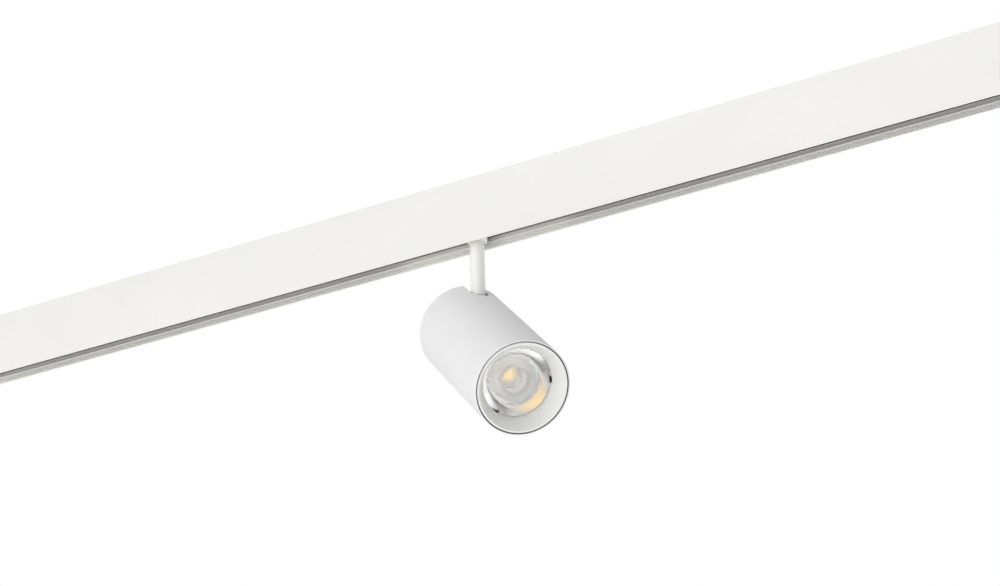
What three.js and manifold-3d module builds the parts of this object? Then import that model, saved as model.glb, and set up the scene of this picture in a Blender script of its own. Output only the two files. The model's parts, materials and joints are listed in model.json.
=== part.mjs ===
// Track spotlight: a cylindrical LED spotlight on a short stem, in a slim surface-mounted ceiling track.
// Millimetres. +Z is up, +X runs along the track. The origin is the middle of the track's top face,
// which lies against the ceiling. The spotlight is drawn as it is aimed: panned and tilted.

import * as THREE from "three";
import { mergeVertices } from "three/addons/utils/BufferGeometryUtils.js";
import Module from "manifold-3d";

const wasm = await Module();
wasm.setup();

// ---------------------------------------------------------------- driving dimensions

const GAP = 0.3; // between pieces that touch

// track
const TRACK_LENGTH = 1000;
const TRACK_WIDTH = 24.4;
const TRACK_HEIGHT = 55.6;
const END_CAP = 3; // thickness of an end cap
const LIP = 10.2; // half-width of the slot between its lips
const RIB = 9.7; // half-width between the ribs at the top of the lips
const CHANNEL = 10.9; // half-width of the channel above the lips
const LIP_HEIGHT = 6.1;
const ROOF = 2.5; // thickness of the channel's roof
const CARRIER_LOW = 9.7; // height of the insulators' lower edge above the slot's mouth
const CARRIER_HIGH = 32;
const FIXING_X = 400; // ceiling fixing holes
const FIXING_R = 1.9;

// adapter
const SPOT_X = 30; // where the spotlight stands along the track
const ADAPTER_LENGTH = 160;
const ADAPTER_HALF = 8.0;
const ADAPTER_FLOOR = 10.6; // height of its underside above the slot's mouth
const ADAPTER_TOP = 43.3;

// stem
const STEM_R = 6.0;
const STEM_BORE = 4.0;
const NECK_R = 4.0; // the threaded neck inside the adapter
const COLLAR_R = 8.5;
const PIVOT_DROP = 50.05; // pivot below the slot's mouth

// head: its own frame has x forward along the light, z up, and the pivot at 0,0,0
const PAN = 52.816; // degrees, from -Y towards +X
const TILT = 36.207; // degrees below the horizontal
const HEAD_R = 37.5;
const WALL = 1.5;
const MOUTH_R = 36.3; // the tube's front end is turned out to this for the front ring
const MOUTH_BACK = 124.4; // where that ends
const AXIS_DROP = 28; // the tube's axis below the pivot
const REAR = -21.6;
const FRONT = 135.4;
const NOTCH = 7.5; // half-width of the slot for the stem
const NOTCH_END = 6.5; // its round front end
const LENS_FACE = 119.0;
const RECESS = 122.1; // rear edge of the conical recess
const RECESS_R = 27.2;
const CLIPS = [10, -116, 127]; // degrees round the lens, from the side towards the top
const LENS_R = 28.6;
const WELL_R = 11.4; // the round well in its front face
const WELL_DEPTH = 4.4;
const BOWL_R = 12.6; // radius of its back

const H = (h) => h - TRACK_HEIGHT; // height above the slot's mouth, as a z

// ---------------------------------------------------------------- materials

const paint = (color, roughness, metalness) =>
  new THREE.MeshStandardMaterial({ color, roughness, metalness });
const whitePaint = paint(0xeeefec, 0.55, 0.0);
const headPaint = paint(0xe6e6e8, 0.6, 0.0);
const whitePlastic = paint(0xf2f2ef, 0.45, 0.0);
const blackPlastic = paint(0x1c1c1e, 0.6, 0.0);
const greyPlastic = paint(0x8e9092, 0.55, 0.0);
const copper = paint(0xb87345, 0.35, 1.0);
const steel = paint(0xb9bbbd, 0.35, 1.0);
const aluminium = paint(0xc9cbcc, 0.4, 1.0);
const board = paint(0x2f6b45, 0.5, 0.0);
const magnet = paint(0xa7a9ab, 0.25, 1.0);
const phosphor = paint(0xf0c13c, 0.7, 0.0);
const clear = paint(0xf4f6f4, 0.08, 0.0);
const padGrey = paint(0x9aa0a6, 0.9, 0.0);
const leadWhite = paint(0xdedede, 0.6, 0.0);

// ---------------------------------------------------------------- geometry helpers

function positionsOnly(geometry) {
  const g = geometry.index ? geometry.toNonIndexed() : geometry.clone();
  g.deleteAttribute("normal");
  g.deleteAttribute("uv");
  return mergeVertices(g, 1e-4);
}

// A closed geometry as a solid, whichever way round its faces were drawn.
function solid(geometry) {
  const g = positionsOnly(geometry);
  const p = g.attributes.position.array;
  const kept = [];
  let volume = 0;
  for (let i = 0; i < g.index.count; i += 3) {
    const [a, b, c] = [0, 1, 2].map((k) => g.index.getX(i + k));
    if (a === b || b === c || a === c) continue;
    kept.push(a, b, c);
    const v = [a, b, c].map((k) => new THREE.Vector3(p[3 * k], p[3 * k + 1], p[3 * k + 2]));
    volume += v[0].dot(v[1].cross(v[2]));
  }
  if (volume < 0)
    for (let i = 0; i < kept.length; i += 3) [kept[i + 1], kept[i + 2]] = [kept[i + 2], kept[i + 1]];
  return new wasm.Manifold(
    new wasm.Mesh({ numProp: 3, vertProperties: new Float32Array(p), triVerts: new Uint32Array(kept) }),
  );
}

function geometryOf(manifold) {
  const m = manifold.getMesh();
  const g = new THREE.BufferGeometry();
  g.setAttribute("position", new THREE.BufferAttribute(new Float32Array(m.vertProperties), 3));
  g.setIndex(new THREE.BufferAttribute(new Uint32Array(m.triVerts), 1));
  g.computeVertexNormals();
  return g;
}

const join = (first, ...others) => others.reduce((a, b) => a.add(b), first);
const cut = (first, ...others) => others.reduce((a, b) => a.subtract(b), first);

const box = (x0, x1, y0, y1, z0, z1) =>
  solid(
    new THREE.BoxGeometry(x1 - x0, y1 - y0, z1 - z0).translate((x0 + x1) / 2, (y0 + y1) / 2, (z0 + z1) / 2),
  );

// A closed profile of [along, radius] points, turned about X, Y or Z through the point c.
function turned(profile, segments, axis = "x", c = [0, 0, 0]) {
  const pts = profile.map(([a, r]) => new THREE.Vector2(r, a));
  if (profile[0][1] > 0 || profile[profile.length - 1][1] > 0) pts.push(pts[0].clone());
  const g = new THREE.LatheGeometry(pts, segments);
  if (axis === "x") g.rotateZ(-Math.PI / 2);
  if (axis === "z") g.rotateX(Math.PI / 2);
  return solid(g.translate(...c));
}

const rod = (r, a0, a1, segments, axis, c) =>
  turned([[a0, 0], [a0, r], [a1, r], [a1, 0]], segments, axis, c);
const ring = (r0, r1, a0, a1, segments, axis, c) =>
  turned([[a0, r0], [a0, r1], [a1, r1], [a1, r0]], segments, axis, c);

function shapeOf(points, holes = []) {
  const s = new THREE.Shape(points.map(([u, v]) => new THREE.Vector2(u, v)));
  for (const h of holes) s.holes.push(new THREE.Path(h.map(([u, v]) => new THREE.Vector2(u, v))));
  return s;
}

// An outline of [y, z] points drawn out along X.
function alongX(points, x0, x1, holes) {
  const g = new THREE.ExtrudeGeometry(shapeOf(points, holes), { depth: x1 - x0, bevelEnabled: false });
  g.applyMatrix4(new THREE.Matrix4().set(0, 0, 1, x0, 1, 0, 0, 0, 0, 1, 0, 0, 0, 0, 0, 1));
  return solid(g);
}

// An outline of [x, z] points drawn out along Y.
function alongY(points, y0, y1, holes) {
  const g = new THREE.ExtrudeGeometry(shapeOf(points, holes), { depth: y1 - y0, bevelEnabled: false });
  g.applyMatrix4(new THREE.Matrix4().set(1, 0, 0, 0, 0, 0, -1, y1, 0, 1, 0, 0, 0, 0, 0, 1));
  return solid(g);
}

// An outline of [x, y] points drawn out along Z.
function alongZ(points, z0, z1, holes) {
  const g = new THREE.ExtrudeGeometry(shapeOf(points, holes), { depth: z1 - z0, bevelEnabled: false });
  return solid(g.translate(0, 0, z0));
}

const circle = (r, n, cu = 0, cv = 0, a0 = 0) =>
  Array.from({ length: n }, (_, i) => {
    const a = a0 + (i * 2 * Math.PI) / n;
    return [cu + r * Math.cos(a), cv + r * Math.sin(a)];
  });

// A round arc of points from angle a0 to a1, in degrees.
const arc = (r, cu, cv, a0, a1, n) =>
  Array.from({ length: n + 1 }, (_, i) => {
    const a = ((a0 + ((a1 - a0) * i) / n) * Math.PI) / 180;
    return [cu + r * Math.cos(a), cv + r * Math.sin(a)];
  });

// A pan-head screw along +X: its head from 0 to -head, its shank from 0 to length, with a hex recess in the head.
function screw(headR, head, shankR, length) {
  const body = turned(
    [
      [-head, 0],
      [-head, headR * 0.75],
      [-head * 0.4, headR],
      [0, headR],
      [0, shankR],
      [length, shankR],
      [length, 0],
    ],
    12,
  );
  return cut(body, rod(headR * 0.42, -head - 1, -head * 0.4, 6, "x"));
}

const group = new THREE.Group();
const adapter = new THREE.Group();
const pan = new THREE.Group();
const head = new THREE.Group();
adapter.position.set(SPOT_X, 0, 0);
pan.rotation.z = THREE.MathUtils.degToRad(PAN - 90);
head.position.set(0, 0, H(-PIVOT_DROP));
head.rotation.y = THREE.MathUtils.degToRad(TILT);
group.add(adapter);
adapter.add(pan);
pan.add(head);

function piece(parent, name, body, material) {
  const mesh = new THREE.Mesh(geometryOf(body), material);
  mesh.name = name;
  parent.add(mesh);
  return mesh;
}

// ---------------------------------------------------------------- track

{
  const W = TRACK_WIDTH / 2;
  const top = TRACK_HEIGHT;
  const roof = top - ROOF;
  // one half of the section, from the middle of the top face round to the middle of the roof's underside
  const half = [
    [W - 0.7, top],
    [W - 0.2, top - 0.2],
    [W, top - 0.7],
    [W, 0.5],
    [W - 0.15, 0.15],
    [W - 0.5, 0],
    [LIP + 0.3, 0],
    [LIP, 0.3],
  ];
  // three fine grooves in the inner face of the lip, then the rib
  for (const g of [0.9, 2.2, 3.5]) half.push([LIP, g], [LIP + 0.4, g + 0.2], [LIP + 0.4, g + 0.6], [LIP, g + 0.8]);
  half.push(
    [LIP, 5.0],
    [RIB, 5.2],
    [RIB, LIP_HEIGHT],
    [CHANNEL, LIP_HEIGHT],
    [CHANNEL, 46.9],
    [7.6, 46.9],
    [7.6, roof],
    [6.7, roof],
    [6.7, 49.2],
    [5.0, 49.2],
    [5.0, 49.8],
    [5.9, 49.8],
    [5.9, roof],
  );
  const other = half.map(([y, h]) => [-y, h]).reverse();
  const outline = [...half, ...other].map(([y, h]) => [y, H(h)]);
  const screwWay = (y) => circle(1.35, 10, y, H(50.1));
  const X = TRACK_LENGTH / 2 - END_CAP - GAP;
  const profile = alongX(outline, -X, X, [screwWay(9.6), screwWay(-9.6)]);
  const fixing = (x) => rod(FIXING_R, H(roof - 1), 1, 16, "z", [x, 0, 0]);
  piece(group, "track_profile", cut(profile, fixing(-FIXING_X), fixing(FIXING_X)), whitePaint);

  // the steel strip that the magnets hold on to, in its two rails under the roof
  const strip = box(-X + 1, X - 1, -5.6, 5.6, H(50.2), H(51.6));
  const stripHole = (x) => rod(4.2, H(49), H(53), 16, "z", [x, 0, 0]);
  piece(group, "steel_strip", cut(strip, stripHole(-FIXING_X), stripHole(FIXING_X)), steel);

  // insulators with their copper rails
  for (const [side, s] of [["near", -1], ["far", 1]]) {
    const C = CHANNEL - GAP;
    const section = [
      [C, CARRIER_LOW],
      [C, CARRIER_HIGH],
      [C - 2, CARRIER_HIGH],
      [C - 2, 24.6],
      [C - 0.8, 24.6],
      [C - 0.8, 19.4],
      [C - 2, 19.4],
      [C - 2, CARRIER_LOW + 0.4],
      [C - 1.6, CARRIER_LOW],
    ].map(([y, h]) => [s * y, H(h)]);
    piece(group, "conductor_carrier_" + side, alongX(section, -X + 1, X - 1), blackPlastic);
    const rail = [
      [C - 1.1, 19.8],
      [C - 1.1, 24.2],
      [C - 1.7, 24.2],
      [C - 1.7, 19.8],
    ].map(([y, h]) => [s * y, H(h)]);
    piece(group, "copper_rail_" + side, alongX(rail, -X + 4, X - 4), copper);
  }

  // end caps: a plate over the section and a plug inside the channel
  const rim = [
    ...arc(1.2, W - 1.2, top - 1.2, 0, 90, 4),
    ...arc(1.2, -W + 1.2, top - 1.2, 90, 180, 4),
    ...arc(0.6, -W + 0.6, 0.6, 180, 270, 3),
    ...arc(0.6, W - 0.6, 0.6, 270, 360, 3),
  ].map(([y, h]) => [y, H(h)]);
  const bossed = (y) => rod(1.35, X - 5, X + 6, 10, "x", [0, y, H(50.1)]);
  const sunk = (y) => rod(2.7, TRACK_LENGTH / 2 - 1.9, TRACK_LENGTH / 2 + 1, 20, "x", [0, y, H(50.1)]);
  for (const [side, s] of [["left", -1], ["right", 1]]) {
    const plate = alongX(rim, X + GAP, TRACK_LENGTH / 2);
    const plug = box(X - 7.5, X + GAP + 0.5, -8.0, 8.0, H(7.5), H(45.5));
    const hollow = box(X - 9, X - 1.5, -6.4, 6.4, H(9.1), H(43.9));
    let cap = cut(join(plate, plug), hollow, bossed(9.6), bossed(-9.6), sunk(9.6), sunk(-9.6));
    if (s < 0) cap = cap.rotate([0, 0, 180]);
    piece(group, "end_cap_" + side, cap, whitePlastic);
    for (const [where, y] of [["near", -9.6], ["far", 9.6]]) {
      let one = screw(2.3, 1.5, 1.05, 13).rotate([0, 0, 180]).translate([TRACK_LENGTH / 2 - 1.9 + GAP, y, H(50.1)]);
      if (s < 0) one = one.rotate([0, 0, 180]).translate([0, 2 * y, 0]);
      piece(group, "end_cap_screw_" + side + "_" + where, one, steel);
    }
  }

  // power feed at the left end, with a contact nose on each rail
  const block = box(-486, -462, -7.6, 7.6, H(12), H(40));
  const nose = (s) => box(-480, -468, Math.min(s * 7.4, s * 8.55), Math.max(s * 7.4, s * 8.55), H(20.4), H(23.6));
  const entry = (y) => rod(1.6, -490, -474, 12, "x", [0, y, H(30)]);
  piece(group, "feed_block", cut(join(block, nose(1), nose(-1)), entry(-4), entry(4)), greyPlastic);
}

// ---------------------------------------------------------------- adapter

{
  const L = ADAPTER_LENGTH / 2;
  const A = ADAPTER_HALF;
  const floor = ADAPTER_FLOOR;
  const outline = (inset) => [
    ...arc(2, L - inset - 2, A - inset - 2, 0, 90, 4),
    ...arc(2, -L + inset + 2, A - inset - 2, 90, 180, 4),
    ...arc(2, -L + inset + 2, -A + inset + 2, 180, 270, 4),
    ...arc(2, L - inset - 2, -A + inset + 2, 270, 360, 4),
  ];
  const shell = alongZ(outline(0), H(floor), H(ADAPTER_TOP));
  const inside = alongZ(outline(1.2), H(floor + 2), H(ADAPTER_TOP + 1));
  const bore = rod(5.6, H(floor - 1), H(floor + 3), 32, "z");
  const windows = box(-50, -30, -A - 1, A + 1, H(19.8), H(24.2));
  const post = (x) => rod(3.2, H(floor + 1), H(ADAPTER_TOP - 0.5), 16, "z", [x, 0, 0]);
  const postHole = (x) => rod(1.6, H(ADAPTER_TOP - 9), H(ADAPTER_TOP + 1), 10, "z", [x, 0, 0]);
  piece(
    adapter,
    "adapter_housing",
    cut(join(cut(shell, inside, bore, windows), post(-74), post(74)), postHole(-74), postHole(74)),
    whitePlastic,
  );

  // the lid, with a pocket for each magnet
  const lid = alongZ(
    outline(1).map(([x, y]) => [x, y]),
    H(ADAPTER_TOP + GAP),
    H(ADAPTER_TOP + GAP + 3),
  );
  const pocket = (x) => box(x - 15.4, x + 15.4, -4.8, 4.8, H(ADAPTER_TOP + GAP + 1), H(50));
  const lidHole = (x) => rod(1.8, H(ADAPTER_TOP - 1), H(50), 12, "z", [x, 0, 0]);
  piece(adapter, "adapter_cover", cut(lid, pocket(-48), pocket(48), lidHole(-74), lidHole(74)), whitePlastic);
  for (const [side, x] of [["left", -48], ["right", 48]])
    piece(adapter, "magnet_" + side, box(x - 15, x + 15, -4.4, 4.4, H(ADAPTER_TOP + GAP + 1.3), H(49.8)), magnet);
  for (const [side, x] of [["left", -74], ["right", 74]])
    piece(
      adapter,
      "adapter_screw_" + side,
      screw(2.8, 1.8, 1.25, 10).rotate([0, 90, 0]).translate([x, 0, H(ADAPTER_TOP + 2 * GAP + 3)]),
      steel,
    );

  // the converter board with its parts
  const pcb = box(-70, 70, -6.2, 6.2, H(26), H(27.6));
  const parts = [
    box(-64, -50, -5, 5, H(27.4), H(36)),
    rod(4.6, H(27.4), H(38), 20, "z", [-40, 0, 0]),
    box(-30, -14, -5, 5, H(27.4), H(33)),
    box(-6, 6, -4, 4, H(27.4), H(30)),
    rod(4.2, H(27.4), H(37), 20, "z", [16, 0, 0]),
    box(26, 44, -5.2, 5.2, H(27.4), H(37.5)),
    box(50, 64, -4.5, 4.5, H(27.4), H(32)),
  ];
  piece(adapter, "driver_board", join(pcb, ...parts), board);

  // bowed contact leaves that reach the copper rails through the housing's windows
  for (const [side, s] of [["near", -1], ["far", 1]]) {
    const leaf = [
      [-54, 5.9],
      [-45, 5.9],
      [-41.5, 8.2],
      [-38.5, 8.2],
      [-35, 5.9],
      [-26, 5.9],
      [-26, 6.35],
      [-34.6, 6.35],
      [-38.2, 8.65],
      [-41.8, 8.65],
      [-45.4, 6.35],
      [-54, 6.35],
    ].map(([x, y]) => [x, s * y]);
    piece(adapter, "contact_leaf_" + side, alongZ(leaf, H(20.6), H(23.4)), copper);
  }

  // flanged bush in the floor, and the wave washer above it
  piece(
    adapter,
    "stem_bush",
    turned(
      [
        [H(floor - 1.4), 4.3],
        [H(floor - 1.4), 7.2],
        [H(floor - 0.3), 7.2],
        [H(floor - 0.3), 5.3],
        [H(floor + 2.6), 5.3],
        [H(floor + 2.6), 4.3],
      ],
      28,
      "z",
    ),
    greyPlastic,
  );
  piece(adapter, "pan_washer", ring(4.3, 6.2, H(floor + 2.9), H(floor + 3.5), 24, "z"), steel);
}

// ---------------------------------------------------------------- stem

{
  const collarTop = ADAPTER_FLOOR - 1.4 - GAP;
  const tubeEnd = 6.5; // above the pivot
  piece(
    pan,
    "stem_tube",
    turned(
      [
        [H(-PIVOT_DROP + tubeEnd), STEM_BORE],
        [H(-PIVOT_DROP + tubeEnd), STEM_R],
        [H(collarTop), STEM_R],
        [H(collarTop), NECK_R],
        [H(21), NECK_R],
        [H(21), 2.6],
        [H(5), 2.6],
        [H(3.5), STEM_BORE],
      ],
      36,
      "z",
    ),
    whitePaint,
  );
  piece(
    pan,
    "stem_collar",
    turned(
      [
        [H(3.7), STEM_R + GAP],
        [H(3.7), COLLAR_R - 0.7],
        [H(3.9), COLLAR_R - 0.3],
        [H(4.4), COLLAR_R],
        [H(collarTop), COLLAR_R],
        [H(collarTop), STEM_R + GAP],
      ],
      36,
      "z",
    ),
    whitePaint,
  );
  const nutLow = ADAPTER_FLOOR + 3.8;
  piece(
    pan,
    "stem_nut",
    cut(rod(6.4, H(nutLow), H(nutLow + 4.4), 6, "z"), rod(NECK_R + GAP, H(nutLow - 1), H(nutLow + 6), 32, "z")),
    steel,
  );
  piece(pan, "stem_lead", rod(2.1, H(-PIVOT_DROP + 7.6), H(24.5), 12, "z"), leadWhite);

  // the eye that the head tilts on: a spigot in the tube, a round body with two flats, and a rounded foot
  const P = [0, 0, H(-PIVOT_DROP)];
  const z = (v) => P[2] + v;
  const spigot = rod(STEM_BORE - GAP, z(5), z(18), 24, "z");
  const body = rod(STEM_R, z(-6), z(tubeEnd - GAP), 36, "z");
  const foot = alongY(
    [...arc(STEM_R, 0, z(0), 180, 360, 16), [STEM_R, z(tubeEnd)], [-STEM_R, z(tubeEnd)]],
    -7,
    7,
  );
  const flats = [box(-8, 8, 4.6, 8, z(-8), z(5.6)), box(-8, 8, -8, -4.6, z(-8), z(5.6))];
  const eye = rod(2.3, -8, 8, 24, "y", P);
  const way = rod(2.6, z(3.4), z(20), 16, "z");
  const exit = box(0, 8, -2.3, 2.3, z(3.4), z(5.9));
  piece(pan, "stem_knuckle", cut(join(body.intersect(foot), spigot), ...flats, eye, way, exit), steel);
}

// ---------------------------------------------------------------- head

{
  const C = [0, 0, -AXIS_DROP]; // a point on the tube's axis
  const INNER = HEAD_R - WALL;

  // the tube, with small rounded edges, and the open slot at the rear of its top side
  const tube = turned(
    [
      [REAR, INNER + 0.25],
      [REAR, HEAD_R - 0.35],
      [REAR + 0.35, HEAD_R],
      [FRONT - 0.45, HEAD_R],
      [FRONT - 0.13, HEAD_R - 0.13],
      [FRONT, HEAD_R - 0.45],
      [FRONT, MOUTH_R + 0.2],
      [FRONT - 0.2, MOUTH_R],
      [MOUTH_BACK + 0.4, MOUTH_R],
      [MOUTH_BACK, INNER],
      [REAR + 0.25, INNER],
    ],
    72,
    "x",
    C,
  );
  const slot = alongZ(
    [[REAR - 3, -NOTCH], ...arc(NOTCH, NOTCH_END - NOTCH, 0, -90, 90, 20), [REAR - 3, NOTCH]],
    -8,
    20,
  );
  piece(head, "head_tube", cut(tube, slot), headPaint);

  // the rear disc, with the same slot down to where the stem lies when the head points straight down
  const disc = turned(
    [
      [REAR + 0.9, 0],
      [REAR + 0.9, INNER - 0.8],
      [REAR + 1.4, INNER - GAP],
      [REAR + 3.6, INNER - GAP],
      [REAR + 3.6, 0],
    ],
    64,
    "x",
    C,
  );
  const mouth = alongX(
    [[-NOTCH, 20], ...arc(NOTCH, 0, 0, 180, 360, 20), [NOTCH, 20]],
    REAR - 2,
    REAR + 6,
  );
  const capHole = (y) => rod(2.0, REAR - 2, REAR + 6, 16, "x", [0, y, -AXIS_DROP - 6]);
  piece(head, "rear_cap", cut(disc, mouth, capHole(-22), capHole(22)), headPaint);
  const standoff = (y) =>
    cut(
      rod(3.4, REAR + 3.9, 10.4, 6, "x", [0, y, -AXIS_DROP - 6]),
      rod(1.8, REAR, REAR + 14, 12, "x", [0, y, -AXIS_DROP - 6]),
    );
  for (const [side, y] of [["left", -22], ["right", 22]]) {
    piece(head, "rear_standoff_" + side, standoff(y), steel);
    piece(
      head,
      "rear_cap_screw_" + side,
      screw(2.9, 1.7, 1.45, 11).translate([REAR + 0.6, y, -AXIS_DROP - 6]),
      steel,
    );
  }

  // the bracket that carries the head: a plate across the heat sink and two ears beside the knuckle
  const across = box(10.7, 13.7, -31, 31, -AXIS_DROP - 16, 3).intersect(rod(INNER - 1.4, 10, 14, 72, "x", C));
  const ears = [-1, 1].map((s) =>
    alongY(
      [...arc(4.5, 0, 0, 90, 270, 12), [11.5, -8.5], [11.5, 4.5]],
      Math.min(s * 5.6, s * 8.2),
      Math.max(s * 5.6, s * 8.2),
    ),
  );
  const earHole = rod(2.3, -12, 12, 24, "y");
  const plateHole = (y) => rod(1.8, 9, 15, 12, "x", [0, y, -AXIS_DROP + 4]);
  piece(head, "pivot_bracket", cut(join(across, ...ears), earHole, plateHole(-15), plateHole(15)), steel);
  for (const [side, y] of [["left", -15], ["right", 15]])
    piece(head, "bracket_screw_" + side, screw(2.8, 1.8, 1.45, 11).translate([10.4, y, -AXIS_DROP + 4]), steel);

  // pin, nut and friction washers
  piece(head, "pivot_pin", turned([[-10.2, 0], [-10.2, 2.9], [-9.8, 3.4], [-8.5, 3.4], [-8.5, 2.0], [11.6, 2.0], [11.6, 0]], 24, "y"), steel);
  piece(head, "pivot_nut", cut(rod(3.7, 8.5, 11.2, 6, "y"), rod(2.3, 8, 12, 20, "y")), steel);
  for (const [side, s] of [["left", -1], ["right", 1]])
    piece(head, "friction_washer_" + side, ring(2.3, 4.3, Math.min(s * 4.9, s * 5.3), Math.max(s * 4.9, s * 5.3), 24, "y"), greyPlastic);

  // heat sink: a solid face behind the LED, a core, and fins
  const SINK = [14.0, 88];
  const fins = [];
  const n = 24;
  for (let i = 0; i < n; i++) {
    const a = (i * 2 * Math.PI) / n;
    const half = Math.PI / n;
    const at = (r, b) => [r * Math.cos(b), -AXIS_DROP + r * Math.sin(b)];
    const thin = 0.8;
    fins.push(at(INNER - 0.4, a - thin / 35), at(INNER - 0.4, a + thin / 35), at(13, a + thin / 13), at(13, a + 2 * half - thin / 13));
  }
  const star = alongX(fins, SINK[0], SINK[1] - 5);
  const face = rod(INNER - 0.4, SINK[1] - 6, SINK[1], 72, "x", C);
  const tapped = (r, x0, x1, y, z) => rod(r, x0, x1, 12, "x", [0, y, z]);
  piece(
    head,
    "heat_sink",
    cut(
      join(star, face),
      tapped(1.8, 13, 24, -15, -AXIS_DROP + 4),
      tapped(1.8, 13, 24, 15, -AXIS_DROP + 4),
      tapped(1.6, 80, 90, -16.5, -AXIS_DROP),
      tapped(1.6, 80, 90, 16.5, -AXIS_DROP),
    ),
    aluminium,
  );

  // light source
  const S = SINK[1] + GAP;
  piece(head, "thermal_pad", box(S, S + 0.5, -9.5, 9.5, -AXIS_DROP - 9.5, -AXIS_DROP + 9.5), padGrey);
  piece(head, "led_board", box(S + 0.8, S + 2.4, -9.5, 9.5, -AXIS_DROP - 9.5, -AXIS_DROP + 9.5), aluminium);
  piece(head, "led_emitter", rod(7.2, S + 2.7, S + 3.5, 40, "x", C), phosphor);
  const frame = turned(
    [
      [S + 2.7, 8.2],
      [S + 2.7, 20.5],
      [S + 5.4, 20.5],
      [S + 6.0, 19.9],
      [S + 6.0, 10.6],
    ],
    40,
    "x",
    C,
  );
  const skirt = ring(15.4, 20.5, S, S + 2.8, 40, "x", C);
  const frameHole = (y) => rod(1.7, S - 1, S + 8, 14, "x", [0, y, -AXIS_DROP]);
  piece(head, "led_holder", cut(join(frame, skirt), frameHole(-16.5), frameHole(16.5)), whitePlastic);
  for (const [side, y] of [["left", -16.5], ["right", 16.5]])
    piece(head, "led_holder_screw_" + side, screw(2.6, 1.6, 1.3, 12).rotate([0, 180, 0]).translate([S + 6.3, y, -AXIS_DROP]), steel);

  // lens: an outer cone that turns the light forward, a cavity over the LED, and a well in the front face
  const back = S + 8.4;
  const f = LENS_FACE;
  const cone = Array.from({ length: 7 }, (_, i) => {
    const t = i / 6;
    return [back + (f - 2 - back) * t * t, BOWL_R + (LENS_R - 1.2 - BOWL_R) * t];
  });
  const clipAt = (deg, r0, r1, x0, x1, half) =>
    box(x0, x1, -half, half, r0, r1)
      .rotate([deg - 90, 0, 0])
      .translate([0, 0, -AXIS_DROP]);
  const clipCuts = CLIPS.map((deg) => clipAt(deg, 25.3, LENS_R + 3, f - 2.6, f + 4, 2.6));
  const lensBody =
    turned(
      [
        [f - WELL_DEPTH, 0],
        [f - WELL_DEPTH - 0.2, 5],
        [f - WELL_DEPTH - 0.45, WELL_R - 1.3],
        [f - 0.3, WELL_R],
        [f, WELL_R + 0.3],
        [f, LENS_R - 0.3],
        [f - 0.3, LENS_R],
        [f - 2, LENS_R],
        ...cone.reverse(),
        [back, 8.9],
        [back + 4, 8.5],
        [back + 8, 7.4],
        [back + 9.4, 4],
        [back + 10, 0],
      ],
      48,
      "x",
      C,
    );
  piece(head, "tir_lens", cut(lensBody, ...clipCuts), clear);

  // the white cup round the lens
  const cup = [
    [f - 0.2, LENS_R + 0.4],
    [f - 0.2, LENS_R + 2.6],
    [f - 9, LENS_R + 2.6],
    [back + 2, 21.2],
    [back + 0.21, 17.4],
    ...cone
      .slice(0, -1)
      .reverse()
      .map(([x, r]) => [x - 0.35, r + 0.9])
      .filter(([x]) => x < f - 2.6),
    [f - 2.4, LENS_R - 0.3],
    [f - 2.4, LENS_R + 0.4],
  ];
  piece(head, "lens_holder", turned(cup, 48, "x", C), whitePlastic);

  // ring over the lens's edge, with a notch for each of the three clips that hold the lens
  const hold = ring(RECESS_R, LENS_R + 2.6, f + GAP, RECESS - GAP, 64, "x", C);
  const notches = CLIPS.map((deg) => clipAt(deg, 25, 29.5, f - 1, f + 5, 2.6));
  piece(head, "lens_ring", cut(hold, ...notches), whitePlastic);
  CLIPS.forEach((deg, i) =>
    piece(head, "lens_clip_" + (i + 1), clipAt(deg, 25.7, 28.3, f - 1.9, f + 1.6, 2.3), blackPlastic),
  );

  // the conical recess in front of the lens, its rim set inside the tube with a narrow gap
  const B = RECESS;
  piece(
    head,
    "front_baffle",
    turned(
      [
        [B, RECESS_R],
        [FRONT - 0.3, 34.0],
        [FRONT - 0.2, 34.2],
        [FRONT - 0.2, 35.0],
        [FRONT - 0.4, 35.2],
        [B + 3.2, 35.2],
        [B + 3.2, 33.9],
        [FRONT - 4.6, 33.9],
        [FRONT - 5.2, 33.1],
        [B, 28.6],
      ],
      64,
      "x",
      C,
    ),
    whitePlastic,
  );
}

export default group;
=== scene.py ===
"""Track spotlight: the looks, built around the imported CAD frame. Metres, the CAD's own frame."""
import json
import math

import bmesh
import bpy
import numpy as np
from mathutils import Matrix, Vector


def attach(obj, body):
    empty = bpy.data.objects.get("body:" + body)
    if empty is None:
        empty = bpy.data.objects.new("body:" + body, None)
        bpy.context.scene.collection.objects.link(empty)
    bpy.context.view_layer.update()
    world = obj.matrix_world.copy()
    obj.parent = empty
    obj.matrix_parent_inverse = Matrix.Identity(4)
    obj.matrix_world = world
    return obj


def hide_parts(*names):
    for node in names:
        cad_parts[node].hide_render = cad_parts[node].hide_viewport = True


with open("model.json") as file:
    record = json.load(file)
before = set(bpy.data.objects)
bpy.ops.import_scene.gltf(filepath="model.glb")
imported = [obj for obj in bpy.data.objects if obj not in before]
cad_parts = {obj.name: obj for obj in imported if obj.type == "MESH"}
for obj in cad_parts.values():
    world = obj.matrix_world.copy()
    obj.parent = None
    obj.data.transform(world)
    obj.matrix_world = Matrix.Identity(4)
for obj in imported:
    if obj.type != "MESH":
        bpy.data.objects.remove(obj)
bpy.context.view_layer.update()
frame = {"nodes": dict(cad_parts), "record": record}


MM = 0.001
scene = bpy.context.scene

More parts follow.
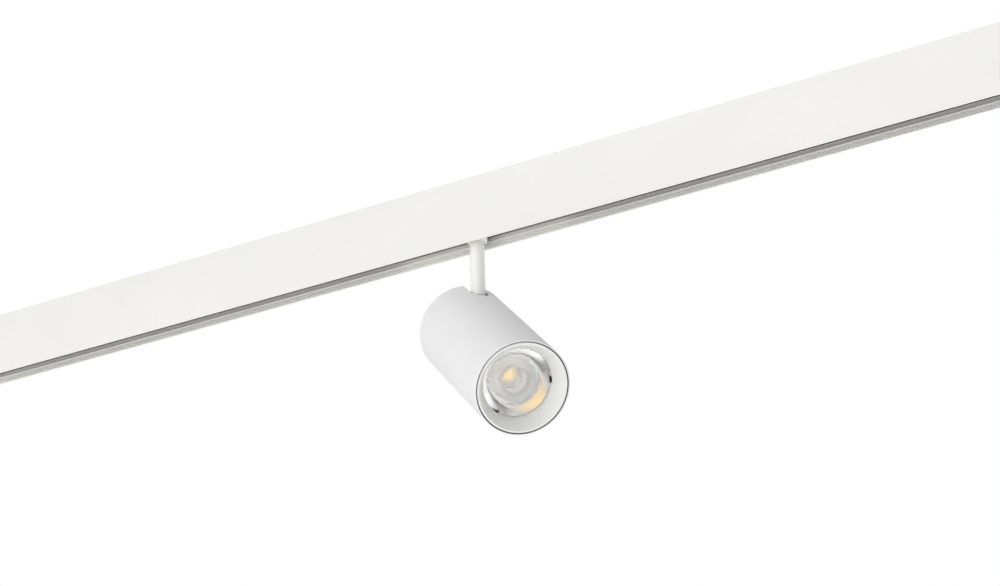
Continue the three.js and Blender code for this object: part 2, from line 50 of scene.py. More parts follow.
# ------------------------------------------------------------------ places, in mm, in the row frame
TRACK_H = 55.6
SPOT_X = 30.0
PIVOT = Vector((SPOT_X, 0.0, -TRACK_H - 50.05))
PAN, TILT = math.radians(52.816), math.radians(36.207)
AX = Vector((math.sin(PAN) * math.cos(TILT), -math.cos(PAN) * math.cos(TILT), -math.sin(TILT)))
LAT = Vector((math.cos(PAN), math.sin(PAN), 0.0))
TOP = AX.cross(LAT)
HEAD = Matrix(((AX.x, LAT.x, TOP.x, PIVOT.x), (AX.y, LAT.y, TOP.y, PIVOT.y), (AX.z, LAT.z, TOP.z, PIVOT.z), (0, 0, 0, 1)))
HEAD_AXIS = HEAD @ Matrix.Translation((0, 0, -28.0))  # x along the tube's axis
STEM = Matrix.Translation((SPOT_X, 0, -TRACK_H))  # z up, from the slot's mouth
REAR, FRONT = -21.6, 135.4
R_OUT, R_IN, R_MOUTH = 37.4, 36.0, 36.3


# ------------------------------------------------------------------ mesh helpers
def fillet(points, closed=True, step=22.0):
    """Rounds the corners of a polyline. A point is (u, v) or (u, v, radius)."""
    n = len(points)
    out = []
    for i, p in enumerate(points):
        r = p[2] if len(p) > 2 else 0.0
        if r <= 0 or (not closed and i in (0, n - 1)):
            out.append((p[0], p[1]))
            continue
        a, b, c = (np.array(points[(i - 1) % n][:2], float), np.array(p[:2], float), np.array(points[(i + 1) % n][:2], float))
        u, w = (a - b), (c - b)
        lu, lw = np.linalg.norm(u), np.linalg.norm(w)
        u, w = u / lu, w / lw
        cosine = float(np.clip(u @ w, -1, 1))
        half = math.acos(cosine) / 2
        if half > math.radians(88.5):
            out.append((p[0], p[1]))
            continue
        t = min(r / math.tan(half), 0.48 * lu, 0.48 * lw)
        r = t * math.tan(half)
        centre = b + (u + w) / np.linalg.norm(u + w) * (r / math.sin(half))
        p0, p1 = b + u * t, b + w * t
        a0 = math.atan2(*(p0 - centre)[::-1])
        a1 = math.atan2(*(p1 - centre)[::-1])
        d = (a1 - a0 + math.pi) % (2 * math.pi) - math.pi
        k = max(2, int(math.ceil(abs(math.degrees(d)) / step)))
        for j in range(k + 1):
            ang = a0 + d * j / k
            out.append((centre[0] + r * math.cos(ang), centre[1] + r * math.sin(ang)))
    return out


def tidy(me, angle=34.0):
    bm = bmesh.new()
    bm.from_mesh(me)
    bmesh.ops.remove_doubles(bm, verts=bm.verts, dist=2e-8)
    bmesh.ops.recalc_face_normals(bm, faces=bm.faces)
    bm.to_mesh(me)
    bm.free()
    me.shade_smooth()
    me.set_sharp_from_angle(angle=math.radians(angle))
    return me


def make(name, verts, faces, matrix=None, angle=34.0):
    """A mesh object from points in mm in a local frame. Its place is in its mesh."""
    me = bpy.data.meshes.new(name)
    m = matrix or Matrix.Identity(4)
    me.from_pydata([tuple((m @ Vector(v)) * MM) for v in verts], [], [list(f) for f in faces])
    tidy(me, angle)
    o = bpy.data.objects.new(name, me)
    scene.collection.objects.link(o)
    return o


def revolve(name, profile, seg, matrix, angle=34.0, closed=True, axis="x"):
    """A closed profile of (along, radius) turned about x or z."""
    pts = fillet(profile, closed)
    verts, faces, rings = [], [], []
    for a, r in pts:
        if r < 1e-6:
            rings.append([len(verts)])
            verts.append((a, 0, 0))
        else:
            rings.append(list(range(len(verts), len(verts) + seg)))
            for k in range(seg):
                t = 2 * math.pi * k / seg
                verts.append((a, r * math.cos(t), r * math.sin(t)))
    if axis == "z":
        verts = [(y, z, x) for x, y, z in verts]
    pairs = list(zip(rings, rings[1:] + rings[:1])) if closed else list(zip(rings, rings[1:]))
    for p, q in pairs:
        if len(p) == 1 and len(q) == 1:
            continue
        for k in range(seg):
            n = (k + 1) % seg
            if len(p) == 1:
                faces.append((p[0], q[n], q[k]))
            elif len(q) == 1:
                faces.append((p[k], p[n], q[0]))
            else:
                faces.append((p[k], p[n], q[n], q[k]))
    return make(name, verts, faces, matrix, angle)


def extrude(name, outline, a0, a1, axis, matrix=None, angle=34.0):
    """A closed outline drawn out along x (outline in y, z) or z (outline in x, y)."""
    n = len(outline)
    put = (lambda u, v, w: (w, u, v)) if axis == "x" else (lambda u, v, w: (u, v, w))
    verts = [put(u, v, a0) for u, v in outline] + [put(u, v, a1) for u, v in outline]
    faces = [tuple(range(n))[::-1], tuple(range(n, 2 * n))]
    faces += [(i, (i + 1) % n, n + (i + 1) % n, n + i) for i in range(n)]
    return make(name, verts, faces, matrix, angle)


def bevel(o, width, segments=2, angle=34.0):
    m = o.modifiers.new("bevel", "BEVEL")
    m.width = width * MM
    m.segments = segments
    m.limit_method = "ANGLE"
    m.angle_limit = math.radians(angle)
    m.harden_normals = True
    return o


def baked(o, angle=34.0):
    """Applies o's modifiers to its mesh."""
    bpy.context.view_layer.update()
    deps = bpy.context.evaluated_depsgraph_get()
    me = bpy.data.meshes.new_from_object(o.evaluated_get(deps))
    o.modifiers.clear()
    o.data = me
    return tidy(me, angle) and o


def bored(o, *cutters, angle=34.0):
    for c in cutters:
        m = o.modifiers.new("cut", "BOOLEAN")
        m.operation = "DIFFERENCE"
        m.solver = "EXACT"
        m.object = c
    baked(o, angle)
    for c in cutters:
        bpy.data.objects.remove(c)
    return o


def drum(r, a0, a1, matrix, seg=40, axis="x"):
    return revolve("cutter", [(a0, 0), (a0, r), (a1, r), (a1, 0)], seg, matrix, axis=axis)


# ------------------------------------------------------------------ materials
def nodes_of(name):
    m = bpy.data.materials.new(name)
    m.use_nodes = True
    nt = m.node_tree
    bsdf = next(n for n in nt.nodes if n.type == "BSDF_PRINCIPLED")
    coord = nt.nodes.new("ShaderNodeTexCoord")
    return m, nt, bsdf, coord.outputs["Object"]


def noise(nt, coord, size_mm, detail=3.0, rough=0.5, stretch=None):
    if stretch:
        mp = nt.nodes.new("ShaderNodeMapping")
        mp.inputs["Scale"].default_value = stretch
        nt.links.new(coord, mp.inputs["Vector"])
        coord = mp.outputs["Vector"]
    n = nt.nodes.new("ShaderNodeTexNoise")
    n.inputs["Scale"].default_value = 1000.0 / size_mm
    n.inputs["Detail"].default_value = detail
    n.inputs["Roughness"].default_value = rough
    nt.links.new(coord, n.inputs["Vector"])
    return n.outputs["Fac"]


def ramp(nt, fac, low, high, a=0.3, b=0.7):
    m = nt.nodes.new("ShaderNodeMapRange")
    m.inputs["From Min"].default_value = a
    m.inputs["From Max"].default_value = b
    m.inputs["To Min"].default_value = low
    m.inputs["To Max"].default_value = high
    nt.links.new(fac, m.inputs["Value"])
    return m.outputs["Result"]


def mix(nt, fac, a, b):
    m = nt.nodes.new("ShaderNodeMix")
    m.data_type = "RGBA"
    m.inputs[6].default_value = (*a, 1)
    m.inputs[7].default_value = (*b, 1)
    nt.links.new(fac, m.inputs["Factor"])
    return m.outputs[2]


def bump(nt, bsdf, height, strength, distance_mm):
    b = nt.nodes.new("ShaderNodeBump")
    b.inputs["Strength"].default_value = strength
    b.inputs["Distance"].default_value = distance_mm * MM
    nt.links.new(height, b.inputs["Height"])
    nt.links.new(b.outputs["Normal"], bsdf.inputs["Normal"])


def off_axis(nt, coord):
    """Distance in metres from the head's axis."""
    rel = nt.nodes.new("ShaderNodeVectorMath")
    rel.operation = "SUBTRACT"
    rel.inputs[1].default_value = HEAD_AXIS.translation * MM
    nt.links.new(coord, rel.inputs[0])
    cr = nt.nodes.new("ShaderNodeVectorMath")
    cr.operation = "CROSS_PRODUCT"
    cr.inputs[1].default_value = AX
    nt.links.new(rel.outputs["Vector"], cr.inputs[0])
    ln = nt.nodes.new("ShaderNodeVectorMath")
    ln.operation = "LENGTH"
    nt.links.new(cr.outputs["Vector"], ln.inputs[0])
    return ln.outputs["Value"]


def powder(name, a, b, rough, grain_mm, grain, spec=0.5, bore_shade_tone=None):
    """Powder coat: fine leathery grain, with a slow drift of tone and gloss. The optional bore tone is a dark grey
    painted on the bore and its mouth: painted shade for the deep gap round the baffle.
    """
    m, nt, bsdf, co = nodes_of(name)
    fine = noise(nt, co, grain_mm, 2.0, 0.55)
    slow = noise(nt, co, 60.0, 2.0, 0.5)
    add = nt.nodes.new("ShaderNodeMath")
    add.operation = "MULTIPLY_ADD"
    add.inputs[1].default_value = 0.45
    nt.links.new(fine, add.inputs[0])
    half = nt.nodes.new("ShaderNodeMath")
    half.operation = "MULTIPLY"
    half.inputs[1].default_value = 0.55
    nt.links.new(slow, half.inputs[0])
    nt.links.new(half.outputs[0], add.inputs[2])
    coat = mix(nt, ramp(nt, add.outputs[0], 0, 1, 0.35, 0.65), a, b)
    # painted shade: a band of the bore, 35.85 to 36.42 mm from the axis, is painted dark grey for the deep gap round
    # the baffle
    if bore_shade_tone:
        away = off_axis(nt, co)  # the bore is at 36 mm, its mouth at 36.3
        inner = ramp(nt, away, 1, 0, 35.80 * MM, 35.85 * MM)
        outer = ramp(nt, away, 0, 1, 36.42 * MM, 36.55 * MM)
        either = nt.nodes.new("ShaderNodeMath")
        either.operation = "MAXIMUM"
        nt.links.new(inner, either.inputs[0])
        nt.links.new(outer, either.inputs[1])
        edge = either.outputs[0]
        both = nt.nodes.new("ShaderNodeMix")
        both.data_type = "RGBA"
        both.inputs[6].default_value = (*bore_shade_tone, 1)
        nt.links.new(edge, both.inputs["Factor"])
        nt.links.new(coat, both.inputs[7])
        coat = both.outputs[2]
    nt.links.new(coat, bsdf.inputs["Base Color"])
    nt.links.new(ramp(nt, fine, rough - 0.05, rough + 0.06), bsdf.inputs["Roughness"])
    bsdf.inputs["Specular IOR Level"].default_value = spec
    bump(nt, bsdf, fine, grain, 0.05)
    return m


def moulded(name, a, b, rough, grain_mm=0.35, grain=0.25, spec=0.5):
    """Moulded plastic: very fine spark-eroded grain and faint flow marks."""
    m, nt, bsdf, co = nodes_of(name)
    fine = noise(nt, co, grain_mm, 3.0, 0.6)
    flow = noise(nt, co, 18.0, 2.0, 0.5, (1.0, 1.0, 0.35))
    nt.links.new(mix(nt, ramp(nt, flow, 0, 1), a, b), bsdf.inputs["Base Color"])
    nt.links.new(ramp(nt, fine, rough - 0.06, rough + 0.06), bsdf.inputs["Roughness"])
    bsdf.inputs["Specular IOR Level"].default_value = spec
    bump(nt, bsdf, fine, grain, 0.03)
    return m


def metal(name, a, b, rough, stretch=(1, 1, 1), grain_mm=0.6, grain=0.3):
    """Bare or plated metal: drawn or turned grain along one direction, with a faint bloom."""
    m, nt, bsdf, co = nodes_of(name)
    grainy = noise(nt, co, grain_mm, 3.0, 0.6, stretch)
    bloom = noise(nt, co, 9.0, 3.0, 0.6)
    nt.links.new(mix(nt, ramp(nt, bloom, 0, 1), a, b), bsdf.inputs["Base Color"])
    nt.links.new(ramp(nt, grainy, rough - 0.08, rough + 0.1), bsdf.inputs["Roughness"])
    bsdf.inputs["Metallic"].default_value = 1.0
    bump(nt, bsdf, grainy, grain, 0.02)
    return m


def circuit(name):
    """Green solder mask with paler traces and speckled parts."""
    m, nt, bsdf, co = nodes_of(name)
    v = nt.nodes.new("ShaderNodeTexVoronoi")
    v.feature = "DISTANCE_TO_EDGE"
    v.inputs["Scale"].default_value = 260
    nt.links.new(co, v.inputs["Vector"])
    nt.links.new(mix(nt, ramp(nt, v.outputs["Distance"], 1, 0, 0.02, 0.09), (0.016, 0.085, 0.035), (0.05, 0.2, 0.09)), bsdf.inputs["Base Color"])
    nt.links.new(ramp(nt, noise(nt, co, 2.0), 0.3, 0.5), bsdf.inputs["Roughness"])
    return m


def glow(name):
    """Yellow phosphor in clear silicone, with small grains."""
    m, nt, bsdf, co = nodes_of(name)
    grains = noise(nt, co, 0.5, 2.0, 0.6)
    colour = mix(nt, ramp(nt, grains, 0, 1), (0.97, 0.70, 0.34), (1.0, 0.80, 0.48))
    nt.links.new(colour, bsdf.inputs["Base Color"])
    nt.links.new(ramp(nt, grains, 0.3, 0.5), bsdf.inputs["Roughness"])
    nt.links.new(colour, bsdf.inputs["Emission Color"])
    bsdf.inputs["Emission Strength"].default_value = PHOSPHOR
    return m


def acrylic(name):
    """Clear moulded acrylic, with the faintest haze."""
    m, nt, bsdf, co = nodes_of(name)
    bsdf.inputs["Base Color"].default_value = (0.998, 0.998, 0.992, 1)
    bsdf.inputs["Transmission Weight"].default_value = 1.0
    bsdf.inputs["IOR"].default_value = 1.49
    nt.links.new(ramp(nt, noise(nt, co, 3.0), 0.04, 0.08), bsdf.inputs["Roughness"])
    bump(nt, bsdf, noise(nt, co, 4.0, 2.0), 0.05, 0.02)
    return m


PHOSPHOR = 0.45
MATS = {
    "track_paint": powder("track_paint", (0.755, 0.75, 0.72), (0.785, 0.78, 0.75), 0.42, 0.9, 0.10),
    "stem_paint": powder("stem_paint", (0.80, 0.80, 0.765), (0.83, 0.83, 0.795), 0.42, 0.8, 0.10),
    # the head's bore carries a dark grey band of painted shade, for the gap round the baffle
    "head_paint": powder("head_paint", (0.765, 0.765, 0.775), (0.80, 0.80, 0.808), 0.55, 0.7, 0.22, bore_shade_tone=(0.34, 0.34, 0.345)),
    "white_plastic": moulded("white_plastic", (0.92, 0.92, 0.905), (0.95, 0.95, 0.935), 0.42),
    "baffle_white": moulded("baffle_white", (0.80, 0.80, 0.77), (0.825, 0.825, 0.795), 0.5),
    "black_plastic": moulded("black_plastic", (0.012, 0.012, 0.013), (0.022, 0.022, 0.023), 0.5),
    "grey_plastic": moulded("grey_plastic", (0.20, 0.205, 0.21), (0.25, 0.255, 0.26), 0.5),
    "copper": metal("copper", (0.72, 0.33, 0.18), (0.80, 0.42, 0.26), 0.32, (0.05, 1, 1)),
    "steel": metal("steel", (0.50, 0.51, 0.53), (0.62, 0.63, 0.64), 0.32, (0.1, 1, 1)),
    "aluminium": metal("aluminium", (0.82, 0.83, 0.84), (0.90, 0.905, 0.91), 0.38, (1, 1, 0.1)),
    "circuit_board": circuit("circuit_board"),
    "magnet": metal("magnet", (0.60, 0.60, 0.62), (0.70, 0.70, 0.71), 0.2),
    "phosphor": glow("phosphor"),
    "lens_clear": acrylic("lens_clear"),
    "thermal_pad": moulded("thermal_pad", (0.30, 0.32, 0.34), (0.36, 0.38, 0.40), 0.8),
    "lead_sheath": moulded("lead_sheath", (0.70, 0.70, 0.70), (0.76, 0.76, 0.76), 0.5),
}


def finish_piece(o, body, slot, *replaced):
    o.data.materials.clear()
    o.data.materials.append(MATS[slot])
    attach(o, body)
    if replaced:
        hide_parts(*replaced)
    return o


# ------------------------------------------------------------------ carried-over CAD nodes
slots = {s["node"]: s["material_slot"] for s in frame["record"]["subparts"]}
for name, o in frame["nodes"].items():
    o.data.materials.clear()
    o.data.materials.append(MATS[slots[name]])
    w = o.modifiers.new("weld", "WELD")
    w.merge_threshold = 1e-6
    bevel(o, 0.12, 2, 40)
    o.data.shade_smooth()


# ------------------------------------------------------------------ camera, at the photograph's angle
cam = bpy.data.cameras.new("camera")
cam_o = bpy.data.objects.new("camera", cam)
scene.collection.objects.link(cam_o)
scene.camera = cam_o
cam.sensor_width = 36.0
cam.lens = 96.8832
cam.clip_start = 0.05
cam.clip_end = 200.0
RIGHT = Vector((0.837920269, 0.545144652, -0.026588185))
UP = Vector((0.22266778, -0.296965256, 0.928563782))
BACK = Vector((0.498305812, -0.783982746, -0.370219357))
cam_o.matrix_world = Matrix(
    (
        (RIGHT.x, UP.x, BACK.x, 1.110161711),
        (RIGHT.y, UP.y, BACK.y, -1.66709665),
        (RIGHT.z, UP.z, BACK.z, -0.888030522),
        (0, 0, 0, 1),
    )
)


# ------------------------------------------------------------------ track
half = [
    (12.2, 55.6, 0.7),
    (12.2, 0.0, 0.45),
    (10.2, 0.0, 0.3),
]
for g in (0.9, 2.2, 3.5):
    half += [(10.2, g, 0.06), (10.95, g + 0.15, 0.08), (10.95, g + 0.6, 0.08), (10.2, g + 0.75, 0.06)]
half += [
    (10.2, 5.0, 0.12),
    (9.7, 5.2, 0.16),
    (9.7, 6.1, 0.2),
    (10.9, 6.1, 0.15),
    (10.9, 46.9, 0.2),
    (7.6, 46.9, 0.2),
    (7.6, 53.1, 0.1),
    (6.7, 53.1, 0.1),
    (6.7, 49.2, 0.15),
    (5.0, 49.2, 0.15),
    (5.0, 49.8, 0.1),
    (5.9, 49.8, 0.1),
    (5.9, 53.1, 0.1),
]
outline = half + [(-p[0], *p[1:]) for p in reversed(half)]
section = [(y, h - TRACK_H) for y, h in fillet(outline)]
track = extrude("track_body", section, -496.7, 496.7, "x")
bored(track, *[drum(1.9, -5, 1, Matrix.Translation((x, 0, 0)), 32, "z") for x in (-400, 400)])
finish_piece(track, "track", "track_paint", "track_profile")

# ------------------------------------------------------------------ stem and collar
tube = revolve(
    "stem_pipe",
    [
        (-43.55, 4.0, 0.2),
        (-43.55, 6.0, 0.35),
        (8.9, 6.0, 0.2),
        (8.9, 4.0, 0.15),
        (21.0, 4.0, 0.4),
        (21.0, 2.6, 0.2),
        (5.0, 2.6, 0.1),
        (3.5, 4.0, 0.1),
    ],
    128,
    STEM,
    axis="z",
)
finish_piece(tube, "stem", "stem_paint", "stem_tube")
collar = revolve(
    "stem_rose",
    [(3.7, 6.06), (3.7, 8.5, 0.9), (8.9, 8.5, 0.3), (8.9, 6.06)],
    128,
    STEM,
    axis="z",
)
finish_piece(collar, "stem", "stem_paint", "stem_collar")


# ------------------------------------------------------------------ head shell, with the open slot at the rear of its top side
def shell(name):
    notch, end, r = 7.5, 6.5, 7.5
    k = 320
    stations = [REAR, REAR + 0.4, REAR + 2, REAR + 5, REAR + 9, REAR + 13, REAR + 17, -3.0, end - r]
    stations += [end - r + r * math.sin(math.radians(a)) for a in range(4, 90, 4)] + [end]
    closed_from = len(stations)
    stations += [end + 0.3, end + 1, end + 3, 14, 22, 32, 44, 58, 74, 90, 106, 120, 124.0, 124.4, 130]
    stations += [FRONT - 0.5 + 0.5 * math.sin(math.radians(a)) for a in (0, 18, 36, 54, 72, 90)]

    def outer(x):
        u = max(0.0, x - FRONT + 0.5)
        return R_OUT - 0.5 + math.sqrt(max(0.25 - u * u, 0.0))

    def inner(x):
        return R_IN + (R_MOUTH - R_IN) * min(max((x - 124.0) / 0.4, 0.0), 1.0)

    def half_width(x):
        if x <= end - r:
            return notch
        return math.sqrt(max(r * r - (x - end + r) ** 2, 0.0)) if x < end else 0.0

    verts, faces, rows = [], [], []
    for x in stations:
        w = half_width(x)
        pair = []
        for radius in (outer(x), inner(x)):
            a0 = math.asin(w / radius)
            row = []
            for i in range(k + 1):
                a = a0 + (2 * math.pi - 2 * a0) * i / k
                if w == 0.0 and i == k:
                    row.append(row[0])
                    continue
                row.append(len(verts))
                verts.append((x, radius * math.sin(a), radius * math.cos(a)))
            pair.append(row)
        rows.append(pair)
    for (o0, i0), (o1, i1) in zip(rows, rows[1:]):
        for j in range(k):
            faces.append((o0[j], o0[j + 1], o1[j + 1], o1[j]))
            faces.append((i0[j], i1[j], i1[j + 1], i0[j + 1]))
    for q in range(closed_from - 1):  # the slot's cut faces
        (o0, i0), (o1, i1) = rows[q], rows[q + 1]
        faces.append((o0[0], o1[0], i1[0], i0[0]))
        faces.append((o0[k], i0[k], i1[k], o1[k]))
    for (o0, i0), flip in ((rows[0], False), (rows[-1], True)):
        for j in range(k):
            f = (o0[j], i0[j], i0[j + 1], o0[j + 1])
            faces.append(f[::-1] if flip else f)
    faces = [tuple(dict.fromkeys(f)) for f in faces]
    faces = [f for f in faces if len(f) > 2]
    return make(name, verts, faces, HEAD_AXIS)


head = shell("head_shell")
bevel(head, 0.28, 3, 40)
baked(head)
finish_piece(head, "head", "head_paint", "head_tube")

# ------------------------------------------------------------------ rear cap: a disc with the same slot, a shallow step round its rim
r_cap = R_IN - 0.3
a0 = math.asin(7.5 / r_cap)
cap_outline = [(r_cap * math.sin(a0 + (2 * math.pi - 2 * a0) * i / 220), r_cap * math.cos(a0 + (2 * math.pi - 2 * a0) * i / 220) - 28.0) for i in range(221)]
cap_outline += [(-7.5 * math.cos(math.pi * i / 28), -7.5 * math.sin(math.pi * i / 28)) for i in range(29)]
cap = extrude("rear_disc", cap_outline, REAR + 0.9, REAR + 3.6, "x", HEAD)
groove = revolve("cutter", [(REAR + 0.2, 31.6), (REAR + 0.2, 32.6), (REAR + 1.4, 32.3), (REAR + 1.4, 31.9)], 192, HEAD_AXIS)
holes = [drum(2.0, REAR - 2, REAR + 6, HEAD @ Matrix.Translation((0, y, -34)), 40) for y in (-22, 22)]
bored(cap, groove, *holes)
bevel(cap, 0.2, 2, 40)
baked(cap, 12)
finish_piece(cap, "head", "head_paint", "rear_cap")

# ------------------------------------------------------------------ front recess
baffle = revolve(
    "baffle_cone",
    [
        (122.1, 27.2, 0.25),
        (FRONT - 0.2, 33.9, 0.35),
        (FRONT - 0.2, 35.5, 0.35),
        (125.3, 35.5, 0.2),
        (125.3, 33.9, 0.2),
        (130.6, 33.9, 0.2),
        (130.2, 33.1, 0.2),
        (122.1, 28.6, 0.2),
    ],
    256,
    HEAD_AXIS,
)
finish_piece(baffle, "head", "baffle_white", "front_baffle")

CLIPS = (10, -116, 127)


def clip_place(deg):
    """x forward, z outwards from the tube's axis at that angle from the side towards the top."""
    return HEAD_AXIS @ Matrix.Rotation(math.radians(deg - 90), 4, "X")


def block(name, x0, x1, y0, y1, z0, z1, matrix):
    return extrude(name, [(x0, y0), (x1, y0), (x1, y1), (x0, y1)], z0, z1, "z", matrix)


FACE = 119.0
ring = revolve("lens_bezel", [(FACE + 0.3, 27.2, 0.1), (FACE + 0.3, 31.2, 0.15), (121.8, 31.2, 0.15), (121.8, 27.2, 0.1)], 256, HEAD_AXIS)
bored(ring, *[block("cutter", FACE - 1, FACE + 5, -2.6, 2.6, 25, 29.5, clip_place(d)) for d in CLIPS])
bevel(ring, 0.1, 2, 40)
baked(ring)
finish_piece(ring, "head", "baffle_white", "lens_ring")

for i, deg in enumerate(CLIPS):  # a forked hook: two prongs over the lens's flange, joined behind it, made black as painted shade for the dark gaps round each clip
    prong = fillet([(FACE - 1.9, 26.5, 0.3), (FACE + 0.7, 26.5, 0.6), (FACE + 1.3, 27.1, 0.4), (FACE + 1.3, 28.3, 0.3), (FACE - 1.9, 28.3, 0.3)])
    bridge = [(FACE - 1.9, 26.8), (FACE - 1.3, 26.8), (FACE - 1.3, 28.3), (FACE - 1.9, 28.3)]
    verts, faces = [], []
    for loop, y0, y1 in ((prong, -1.85, -0.85), (bridge, -1.0, 1.0), (prong, 0.85, 1.85)):
        n, k = len(loop), len(verts)
        verts += [(x, y, z) for y in (y0, y1) for x, z in loop]
        faces += [tuple(range(k, k + n)), tuple(range(k + 2 * n - 1, k + n - 1, -1))]
        faces += [(k + j, k + n + j, k + n + (j + 1) % n, k + (j + 1) % n) for j in range(n)]
    clip = make("lens_hook_%d" % (i + 1), verts, faces, clip_place(deg))
    bevel(clip, 0.12, 2, 40)
    baked(clip)
    # the black here is painted shade: the hook stands in for the shadowed gaps round a pale clip
    finish_piece(clip, "head", "black_plastic", "lens_clip_%d" % (i + 1))

# ------------------------------------------------------------------ lens: pillows on its front face, a well in the middle, a cavity over the LED
BACK_X = 88 + 0.3 + 8.4
PITCH = 1.7
DOME = 0.25
WELL = 4.4  # depth
FLARE = 0.42  # the wall's bowl: 1 is a straight cone
CAVITY = 10.0


def pillow(y, z, pitch=PITCH):
    """Height of a field of small domes laid out in a honeycomb, 0 to 1."""
    best = 1e9
    dy, dz = pitch, pitch * math.sqrt(3)
    for oy, oz in ((0, 0), (dy / 2, dz / 2)):
        a = (y - oy) - round((y - oy) / dy) * dy
        b = (z - oz) - round((z - oz) / dz) * dz
        best = min(best, a * a + b * b)
    return 1 - best / (pitch * pitch / 3)


def bowl(t):
    """Radius of the lens's wall, from its back, 0, to its flange, 1."""
    return 12.6 + 14.8 * t**FLARE


def lens(name, seg=512):
    rings = []  # (x, r, dome height)
    for i in range(37):  # the well's floor, gently domed
        r = 9.8 * i / 36
        rings.append((FACE - WELL - 0.4 * (r / 9.8) ** 2, r, DOME if 0 < r < 9.4 else 0.0))
    rings += [(FACE - WELL - 0.45, 10.0, 0), (FACE - WELL + 0.4, 10.25, 0)]
    rings += [(FACE - WELL * (1 - k / 6), 10.25 + 0.95 * k / 6, 0) for k in range(1, 6)]
    rings += [(FACE - 0.25, 11.3, 0), (FACE - 0.06, 11.45, 0), (FACE, 11.75, 0)]
    n = 62
    rings += [(FACE, 11.9 + (27.7 - 11.9) * i / n, DOME) for i in range(n + 1)]
    rings += [(FACE, 28.1, 0), (FACE - 0.15, 28.45, 0), (FACE - 0.45, 28.6, 0), (FACE - 2.0, 28.6, 0)]
    m = 36
    rings += [(BACK_X + (FACE - 2 - BACK_X) * (1 - i / m), bowl(1 - i / m), 0) for i in range(m)]
    rings += [(BACK_X + 0.12, 12.9, 0), (BACK_X, 12.5, 0)]
    rings += [(BACK_X, 8.9, 0), (BACK_X + 0.1, 8.75, 0), (BACK_X + CAVITY * 0.4, 8.5, 0), (BACK_X + CAVITY * 0.7, 8.2, 0), (BACK_X + CAVITY * 0.8, 7.4, 0)]
    rings += [(BACK_X + CAVITY - CAVITY * 0.2 * (r / 7.4) ** 2, r, 0) for r in (6.5, 5.2, 3.9, 2.6, 1.3, 0)]
    verts, faces, idx = [], [], []
    for x, r, p in rings:
        if r < 1e-6:
            idx.append([len(verts)])
            verts.append((x + p, 0, 0))
            continue
        idx.append(list(range(len(verts), len(verts) + seg)))
        for k in range(seg):
            t = 2 * math.pi * k / seg
            y, z = r * math.cos(t), r * math.sin(t)
            verts.append((x + (pillow(y, z) * p if p else 0), y, z))
    for p, q in zip(idx, idx[1:]):
        for k in range(seg):
            j = (k + 1) % seg
            if len(p) == 1:
                faces.append((p[0], q[k], q[j]))
            elif len(q) == 1:
                faces.append((p[k], q[0], p[j]))
            else:
                faces.append((p[k], q[k], q[j], p[j]))
    return make(name, verts, faces, HEAD_AXIS, 40)


glass = lens("collimator_lens")
bored(glass, *[block("cutter", FACE - 2.6, FACE + 4, -2.6, 2.6, 25.3, 32, clip_place(d)) for d in CLIPS], angle=40)
finish_piece(glass, "head", "lens_clear", "tir_lens")

m = 36
cup_inner = [(BACK_X - 0.35 + (FACE - 2 - BACK_X) * t, bowl(t) + 0.9) for t in [i / m for i in range(1, m)]]
cup_inner = [p for p in cup_inner if p[0] < FACE - 2.8]
cup = revolve(
    "lens_cup",
    [
        (FACE - 0.2, 29.0, 0.1),
        (FACE - 0.2, 31.2, 0.2),
        (FACE - 9, 31.2, 1.0),
        (BACK_X + 2, 21.2, 1.0),
        (BACK_X + 0.21, 17.4, 0.4),
        *cup_inner,
        (FACE - 2.4, 28.3),
        (FACE - 2.4, 29.0),
    ],
    192,
    HEAD_AXIS,
)
finish_piece(cup, "head", "white_plastic", "lens_holder")

# ------------------------------------------------------------------ stage: a plain pale floor, well below, and soft light
FLOOR_GLOW = 0.55  # a light table, which fills the underside
bm = bmesh.new()
bmesh.ops.create_grid(bm, x_segments=8, y_segments=8, size=60)
me = bpy.data.meshes.new("floor")
bm.to_mesh(me)
bm.free()
floor = bpy.data.objects.new("floor", me)
floor.location = (0, 0, -1.6)
scene.collection.objects.link(floor)
fm, fnt, fb, fco = nodes_of("floor_matt")
fb.inputs["Roughness"].default_value = 0.95
fb.inputs["Specular IOR Level"].default_value = 0.1
fnt.links.new(mix(fnt, ramp(fnt, noise(fnt, fco, 900.0), 0, 1), (0.68, 0.68, 0.68), (0.71, 0.71, 0.71)), fb.inputs["Base Color"])
fb.inputs["Emission Color"].default_value = (1, 1, 1, 1)
fb.inputs["Emission Strength"].default_value = FLOOR_GLOW
me.materials.append(fm)
floor.visible_transmission = False  # through the lens, the lamp sees an even white studio

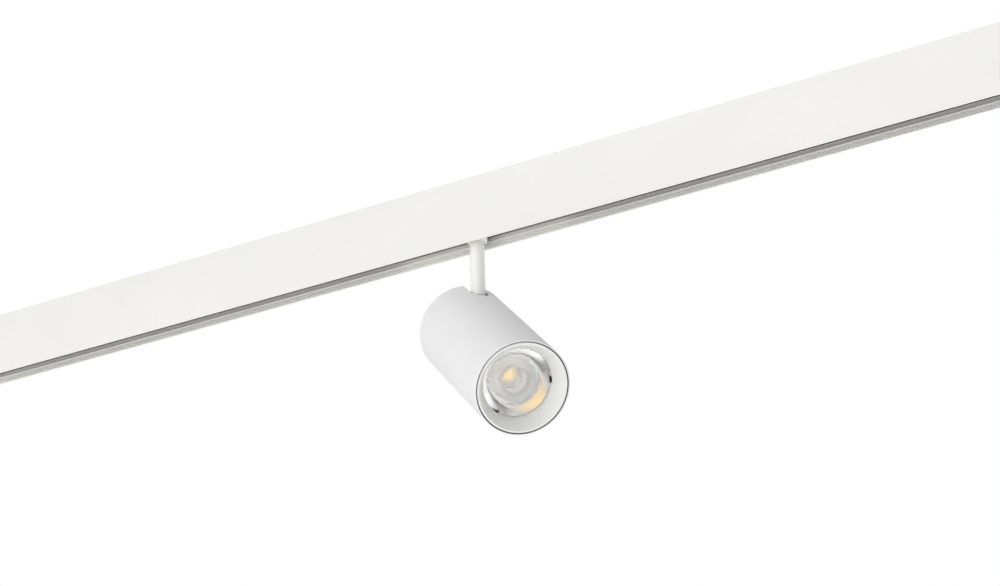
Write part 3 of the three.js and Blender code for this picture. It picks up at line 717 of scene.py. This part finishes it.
AIM = Vector((0.08, -0.03, -0.12))
LIGHTS = (
    # name, azimuth from -Y towards +X, elevation, distance, width of the round softbox, watts
    ("front_left", -35, -20, 3.0, 1.8, 17.5),
    ("front", 5, 10, 3.0, 1.8, 20.0),
    ("near_right", 30, 5, 1.6, 1.0, 0.9),
    ("high_left", -20, 45, 3.0, 1.8, 18.0),
    ("back", 180, -10, 3.0, 1.8, 24.0),
    ("back_low", 150, -40, 2.2, 1.6, 14.0),
)
for name, az, el, dist, width, watts in LIGHTS:
    az, el = math.radians(az), math.radians(el)
    d = bpy.data.lights.new(name, "AREA")
    d.shape = "DISK"
    d.size = width
    d.energy = watts
    lo = bpy.data.objects.new(name, d)
    lo.location = AIM + dist * Vector((math.sin(az) * math.cos(el), -math.cos(az) * math.cos(el), math.sin(el)))
    lo.rotation_euler = (AIM - lo.location).to_track_quat("-Z", "Y").to_euler()
    lo.visible_camera = False
    scene.collection.objects.link(lo)

AMBIENT = 0.372
world = bpy.data.worlds.new("studio")
scene.world = world
world.use_nodes = True
wt = world.node_tree
wt.nodes.clear()
out = wt.nodes.new("ShaderNodeOutputWorld")
seen = wt.nodes.new("ShaderNodeBackground")
seen.inputs["Color"].default_value = (1, 1, 1, 1)
seen.inputs["Strength"].default_value = 1.0
lit = wt.nodes.new("ShaderNodeBackground")
lit.inputs["Color"].default_value = (1, 1, 1, 1)
lit.inputs["Strength"].default_value = AMBIENT
path = wt.nodes.new("ShaderNodeLightPath")
pick = wt.nodes.new("ShaderNodeMixShader")
# clear pieces see white at 0.93, and let 1.95 in to what is behind them
once = wt.nodes.new("ShaderNodeMath")
once.operation = "MINIMUM"
once.inputs[1].default_value = 1.0
wt.links.new(path.outputs["Diffuse Depth"], once.inputs[0])
gain = wt.nodes.new("ShaderNodeMath")
gain.operation = "MULTIPLY_ADD"
gain.inputs[1].default_value = 1.02
gain.inputs[2].default_value = -0.07
wt.links.new(once.outputs[0], gain.inputs[0])
through = wt.nodes.new("ShaderNodeMath")
through.operation = "MULTIPLY_ADD"
through.inputs[2].default_value = 1.0
wt.links.new(path.outputs["Is Transmission Ray"], through.inputs[0])
wt.links.new(gain.outputs[0], through.inputs[1])
wt.links.new(through.outputs[0], seen.inputs["Strength"])
wt.links.new(path.outputs["Is Diffuse Ray"], pick.inputs[0])
wt.links.new(seen.outputs[0], pick.inputs[1])
wt.links.new(lit.outputs[0], pick.inputs[2])
wt.links.new(pick.outputs[0], out.inputs["Surface"])
scene.view_settings.view_transform = "Standard"
scene.view_settings.look = "None"
